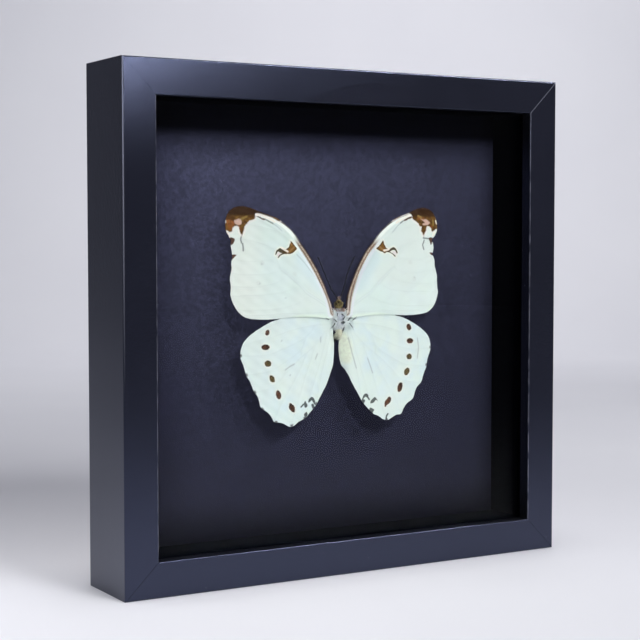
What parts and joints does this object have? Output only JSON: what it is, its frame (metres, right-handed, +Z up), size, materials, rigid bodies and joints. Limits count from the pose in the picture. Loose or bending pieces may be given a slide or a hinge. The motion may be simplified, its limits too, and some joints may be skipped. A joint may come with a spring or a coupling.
{
  "type": "framed butterfly specimen",
  "caption": "Deep square shadow-box frame, black satin, with a white butterfly floating on a pin in front of a black board behind glass. Stands on a shelf or hangs on a wall.",
  "frame": {"origin": "centre of the underside of the frame, midway through its depth", "axes": "+Z up as it stands or hangs, -Y out of the glass towards the viewer, +X to the viewer's right"},
  "size_m": [0.22, 0.0376, 0.22],
  "materials": {
    "frame_lacquer": "black satin lacquer",
    "glass": "clear, polished",
    "black_card": "matte black card",
    "back_board": "raw hardboard",
    "bare_steel": "plain zinc-plated steel",
    "wing": "matte scales, pearly white with brown marks",
    "body_hair": "fine hair, grey-white and olive brown",
    "dark_horn": "dry dark insect horn",
    "pin_steel": "black enamelled steel"
  },
  "bodies": {
    "root": {"frame_rail_bottom": "frame_lacquer", "frame_rail_left": "frame_lacquer", "frame_rail_top": "frame_lacquer", "frame_rail_right": "frame_lacquer", "retaining_tab_1": "bare_steel", "retaining_tab_2": "bare_steel", "retaining_tab_3": "bare_steel", "retaining_tab_4": "bare_steel", "retaining_tab_5": "bare_steel", "retaining_tab_6": "bare_steel", "retaining_tab_7": "bare_steel", "retaining_tab_8": "bare_steel", "glass_pane": "glass", "spacer_bottom": "black_card", "spacer_top": "black_card", "spacer_left": "black_card", "spacer_right": "black_card", "mount_board": "black_card", "back_panel": "back_board", "hanger": "bare_steel", "hanger_rivet_left": "bare_steel", "hanger_rivet_right": "bare_steel", "thorax": "body_hair", "head": "body_hair", "abdomen": "body_hair", "forewing_left": "wing", "forewing_right": "wing", "hindwing_left": "wing", "hindwing_right": "wing", "antenna_left": "dark_horn", "antenna_right": "dark_horn", "leg_middle_left": "dark_horn", "leg_middle_right": "dark_horn", "leg_hind_left": "dark_horn", "leg_hind_right": "dark_horn", "mounting_pin": "pin_steel"}
  },
  "joints": []
}
